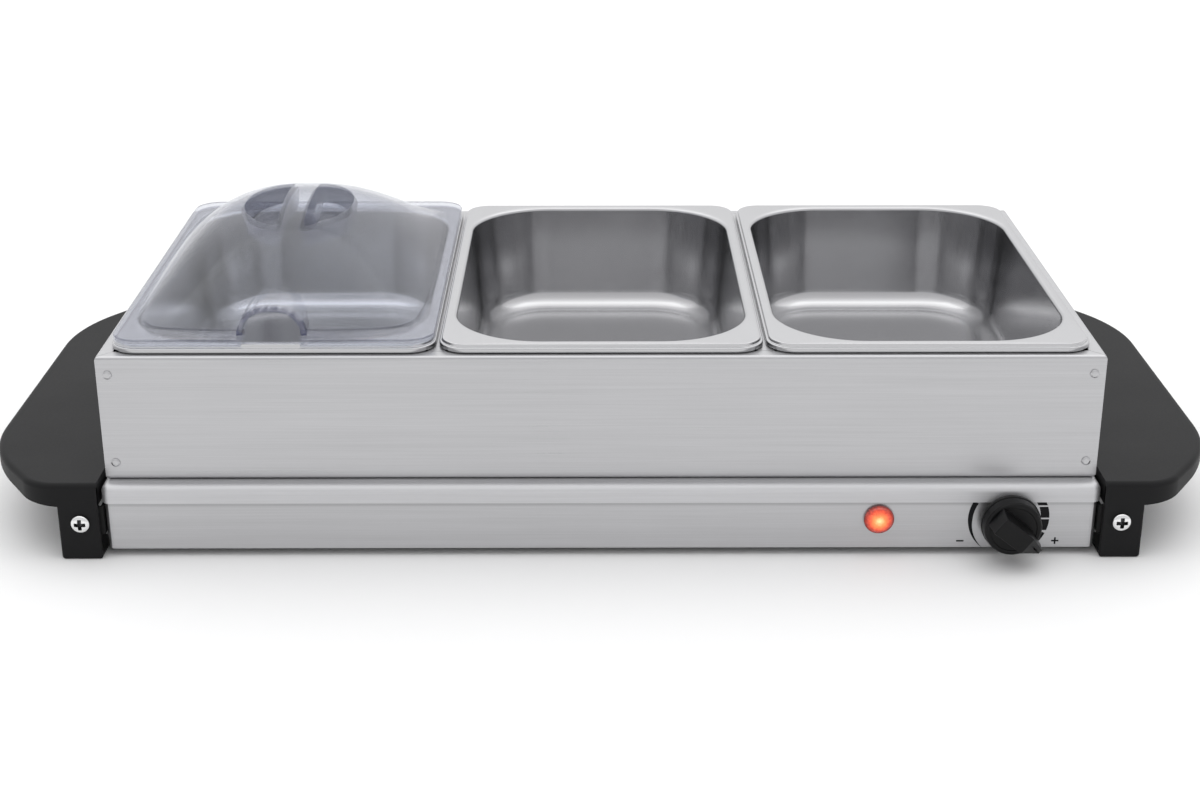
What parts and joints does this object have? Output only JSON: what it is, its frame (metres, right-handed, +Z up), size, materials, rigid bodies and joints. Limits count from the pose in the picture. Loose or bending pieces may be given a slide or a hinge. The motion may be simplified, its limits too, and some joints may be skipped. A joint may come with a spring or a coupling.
{
  "type": "countertop buffet warmer",
  "caption": "Countertop buffet warmer: electric warming base with end handles, riveted pan frame, deep lift-out pans, clear domed lid with spoon notch, heat knob and pilot lamp.",
  "frame": {"origin": "centre of the bounding box in plan, at the height of the legs' undersides", "axes": "+X to the right along the row of pans, -Y towards the front with the knob, +Z up"},
  "size_m": [0.677, 0.33, 0.161],
  "materials": {
    "brushed_steel": "fine horizontal brushed stainless sheet",
    "pan_steel": "satin drawn stainless steel",
    "black_plastic": "fine-textured moulded heat-resistant plastic",
    "clear_plastic": "clear moulded plastic",
    "bright_fasteners": "bright plated",
    "dark_steel": "dark coated steel",
    "aluminium_parts": "mill finish",
    "brass_parts": "turned",
    "pale_plastic": "moulded",
    "ceramic_block": "unglazed",
    "red_lens": "translucent red",
    "wire_sleeve": "heat-resistant sleeve"
  },
  "bodies": {
    "base": {"warming_plate": "brushed_steel", "base_shell": "brushed_steel", "element_clamp_1": "brushed_steel", "element_clamp_2": "brushed_steel", "element_clamp_3": "brushed_steel", "element_clamp_4": "brushed_steel", "handle_left": "black_plastic", "handle_right": "black_plastic", "cable_gland": "black_plastic", "handle_screw_front_left": "bright_fasteners", "handle_screw_front_right": "bright_fasteners", "handle_screw_rear_left": "bright_fasteners", "handle_screw_rear_right": "bright_fasteners", "cover_screw_1": "bright_fasteners", "cover_screw_2": "bright_fasteners", "cover_screw_3": "bright_fasteners", "cover_screw_4": "bright_fasteners", "bottom_cover": "dark_steel", "heating_element": "dark_steel", "handle_bracket_left": "dark_steel", "handle_bracket_right": "dark_steel", "reflector_plate": "aluminium_parts", "thermal_fuse": "aluminium_parts", "thermostat_nut": "brass_parts", "earth_screw": "brass_parts", "terminal_block": "pale_plastic", "indicator_body": "pale_plastic", "indicator_ring": "pale_plastic", "thermostat_body": "ceramic_block", "indicator_lens": "red_lens", "wire_live": "wire_sleeve", "wire_fused": "wire_sleeve", "wire_element_front": "wire_sleeve", "wire_element_rear": "wire_sleeve", "wire_lamp_live": "wire_sleeve", "wire_lamp_neutral": "wire_sleeve", "wire_earth": "wire_sleeve"},
    "pan_frame": {"frame_front": "brushed_steel", "frame_rear": "brushed_steel", "frame_end_left": "brushed_steel", "frame_end_right": "brushed_steel", "divider_left": "brushed_steel", "divider_right": "brushed_steel", "rivet_front_left_upper": "bright_fasteners", "rivet_front_left_lower": "bright_fasteners", "rivet_front_right_upper": "bright_fasteners", "rivet_front_right_lower": "bright_fasteners", "rivet_rear_left_upper": "bright_fasteners", "rivet_rear_left_lower": "bright_fasteners", "rivet_rear_right_upper": "bright_fasteners", "rivet_rear_right_lower": "bright_fasteners"},
    "pan_left_body": {"pan_left": "pan_steel"},
    "pan_centre_body": {"pan_centre": "pan_steel"},
    "pan_right_body": {"pan_right": "pan_steel"},
    "lid_body": {"lid": "clear_plastic"},
    "knob": {"control_knob": "black_plastic", "thermostat_shaft": "aluminium_parts"}
  },
  "joints": [
    {"name": "knob_turn", "type": "hinge", "parent": "base", "child": "knob", "pos_m": [0.2184, -0.143, 0.0215], "axis": [0, -1, 0], "range_deg": [0, 270]},
    {"name": "frame_lift", "type": "slide", "parent": "base", "child": "pan_frame", "axis": [0, 0, 1], "range_m": [0, 0.08]},
    {"name": "pan_left_lift", "type": "slide", "parent": "pan_frame", "child": "pan_left_body", "axis": [0, 0, 1], "range_m": [0, 0.08]},
    {"name": "pan_centre_lift", "type": "slide", "parent": "pan_frame", "child": "pan_centre_body", "axis": [0, 0, 1], "range_m": [0, 0.08]},
    {"name": "pan_right_lift", "type": "slide", "parent": "pan_frame", "child": "pan_right_body", "axis": [0, 0, 1], "range_m": [0, 0.08]},
    {"name": "lid_lift", "type": "slide", "parent": "pan_left_body", "child": "lid_body", "axis": [0, 0, 1], "range_m": [0, 0.06]}
  ]
}
